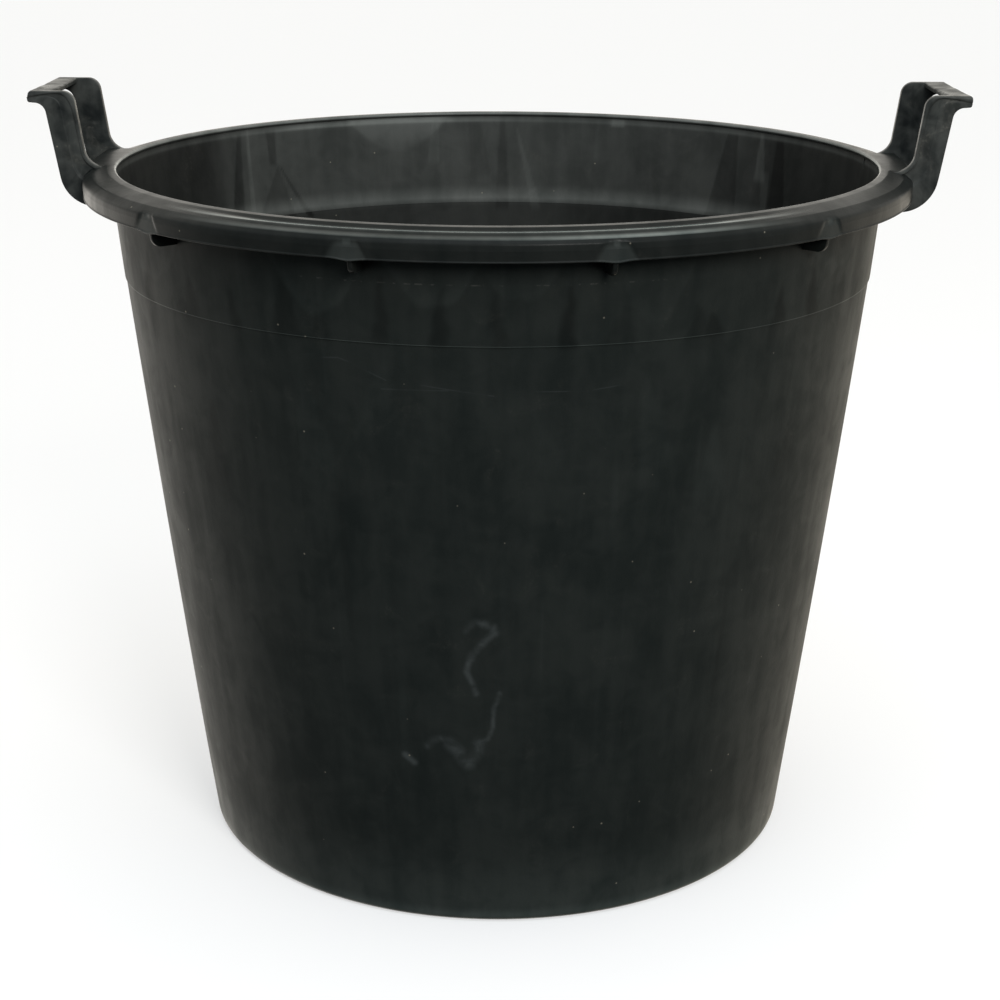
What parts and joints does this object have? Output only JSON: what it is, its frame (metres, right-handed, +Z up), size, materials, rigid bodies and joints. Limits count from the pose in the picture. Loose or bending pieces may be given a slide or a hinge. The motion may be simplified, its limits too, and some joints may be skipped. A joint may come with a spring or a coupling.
{
  "type": "mortar mixing tub",
  "caption": "Round tapered black plastic mortar tub with a rolled rim, radial gussets under it and two upright lifting handles.",
  "frame": {"origin": "centre of the bottom, on the ground plane under the base ring", "axes": "+Z up through the tub's axis, X from one handle to the other, the front is -Y"},
  "size_m": [0.6672, 0.6, 0.557],
  "materials": {
    "black_plastic": "satin black recycled polyethylene, with faint flow marks, scuffs and dust"
  },
  "bodies": {
    "root": {"tub_floor": "black_plastic", "base_ring": "black_plastic", "lower_wall": "black_plastic", "upper_wall": "black_plastic", "rim_crown": "black_plastic", "rim_skirt": "black_plastic", "front_left_outer_gusset": "black_plastic", "front_left_inner_gusset": "black_plastic", "front_right_inner_gusset": "black_plastic", "front_right_outer_gusset": "black_plastic", "rear_left_outer_gusset": "black_plastic", "rear_left_inner_gusset": "black_plastic", "rear_right_inner_gusset": "black_plastic", "rear_right_outer_gusset": "black_plastic", "left_handle_front_leg": "black_plastic", "left_handle_rear_leg": "black_plastic", "left_handle_grip": "black_plastic", "right_handle_front_leg": "black_plastic", "right_handle_rear_leg": "black_plastic", "right_handle_grip": "black_plastic"}
  },
  "joints": []
}
